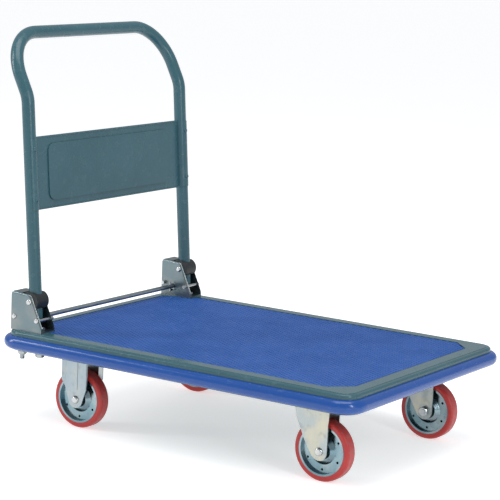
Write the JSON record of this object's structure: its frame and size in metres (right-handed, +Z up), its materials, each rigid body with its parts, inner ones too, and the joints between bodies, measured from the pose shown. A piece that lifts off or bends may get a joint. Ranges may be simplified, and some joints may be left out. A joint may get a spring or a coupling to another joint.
{
  "type": "folding platform cart",
  "caption": "Folding platform hand cart: pressed-steel deck with ribbed mat and bumper, bent-tube handle in latching fold brackets, rigid rear and swivel front casters.",
  "frame": {"origin": "on the floor, under the centre of the cart's overall length and width", "axes": "+X to the front, away from the handle; +Y to the left side; +Z up"},
  "size_m": [0.9173, 0.636, 0.8322],
  "materials": {
    "teal_paint": "satin enamel",
    "frame_paint": "satin enamel",
    "mat_rubber": "fine ribbed rubber",
    "bumper_vinyl": "glossy moulded vinyl",
    "zinc": "bright zinc plate",
    "zinc_cast": "zinc plate, slightly yellow",
    "steel_bright": "bright plated pins",
    "nylon_black": "moulded nylon",
    "urethane_red": "cast urethane",
    "spring_steel": "spring wire"
  },
  "bodies": {
    "chassis": {"deck_pan": "teal_paint", "deck_mat": "mat_rubber", "bumper": "bumper_vinyl", "cross_member_rear": "frame_paint", "cross_member_front": "frame_paint", "rear_rail": "frame_paint", "stringer_left": "frame_paint", "stringer_right": "frame_paint", "bracket_left": "zinc", "bracket_right": "zinc", "pivot_pins": "steel_bright", "stop_pins": "steel_bright", "lever_pins": "steel_bright", "bracket_bolts": "zinc", "bracket_nuts": "zinc", "bracket_washers": "zinc", "bracket_spacers": "frame_paint", "latch_springs": "spring_steel", "rigid_fork_left": "zinc", "rigid_fork_right": "zinc", "axles_rear": "steel_bright", "axle_nuts_rear": "steel_bright", "swivel_plate_left": "zinc_cast", "swivel_plate_right": "zinc_cast", "kingpins": "zinc", "kingpin_nuts": "zinc", "caster_bolts": "zinc", "caster_nuts": "zinc", "caster_washers": "zinc"},
    "handle": {"handle_tube": "teal_paint", "knuckle_left": "nylon_black", "knuckle_right": "nylon_black", "handle_panel": "teal_paint", "panel_rivets": "teal_paint"},
    "release": {"release_bar": "zinc", "latch_lever_left": "zinc", "latch_lever_right": "zinc", "split_pins": "steel_bright"},
    "swivel_left": {"swivel_fork_left": "zinc_cast", "swivel_balls_left": "steel_bright", "axle_front_left": "steel_bright", "axle_nut_front_left": "steel_bright"},
    "swivel_right": {"swivel_fork_right": "zinc_cast", "swivel_balls_right": "steel_bright", "axle_front_right": "steel_bright", "axle_nut_front_right": "steel_bright"},
    "wheel_rear_left": {"tread_rear_left": "urethane_red", "wheel_discs_rear_left": "zinc", "wheel_hub_rear_left": "zinc"},
    "wheel_rear_right": {"tread_rear_right": "urethane_red", "wheel_discs_rear_right": "zinc", "wheel_hub_rear_right": "zinc"},
    "wheel_front_left": {"tread_front_left": "urethane_red", "wheel_discs_front_left": "zinc", "wheel_hub_front_left": "zinc"},
    "wheel_front_right": {"tread_front_right": "urethane_red", "wheel_discs_front_right": "zinc", "wheel_hub_front_right": "zinc"}
  },
  "joints": [
    {"name": "handle_fold", "type": "hinge", "parent": "chassis", "child": "handle", "pos_m": [-0.34735, 0, 0.267], "axis": [0, 1, 0], "range_deg": [0, 92]},
    {"name": "latch_release", "type": "hinge", "parent": "chassis", "child": "release", "pos_m": [-0.38645, 0, 0.2315], "axis": [0, 1, 0], "range_deg": [0, 15], "stiffness_Nm_per_rad": 1.5, "springref_deg": -20.05, "deforming": ["latch_springs"]},
    {"name": "caster_swivel_left", "type": "hinge", "parent": "chassis", "child": "swivel_left", "pos_m": [0.30805, 0.214, 0.15], "axis": [0, 0, 1], "continuous": true},
    {"name": "caster_swivel_right", "type": "hinge", "parent": "chassis", "child": "swivel_right", "pos_m": [0.30805, -0.214, 0.15], "axis": [0, 0, 1], "continuous": true},
    {"name": "wheel_spin_rear_left", "type": "hinge", "parent": "chassis", "child": "wheel_rear_left", "pos_m": [-0.26145, 0.214, 0.0625], "axis": [0, 1, 0], "continuous": true},
    {"name": "wheel_spin_rear_right", "type": "hinge", "parent": "chassis", "child": "wheel_rear_right", "pos_m": [-0.26145, -0.214, 0.0625], "axis": [0, 1, 0], "continuous": true},
    {"name": "wheel_spin_front_left", "type": "hinge", "parent": "swivel_left", "child": "wheel_front_left", "pos_m": [0.34005, 0.214, 0.0625], "axis": [0, 1, 0], "continuous": true},
    {"name": "wheel_spin_front_right", "type": "hinge", "parent": "swivel_right", "child": "wheel_front_right", "pos_m": [0.34005, -0.214, 0.0625], "axis": [0, 1, 0], "continuous": true}
  ]
}
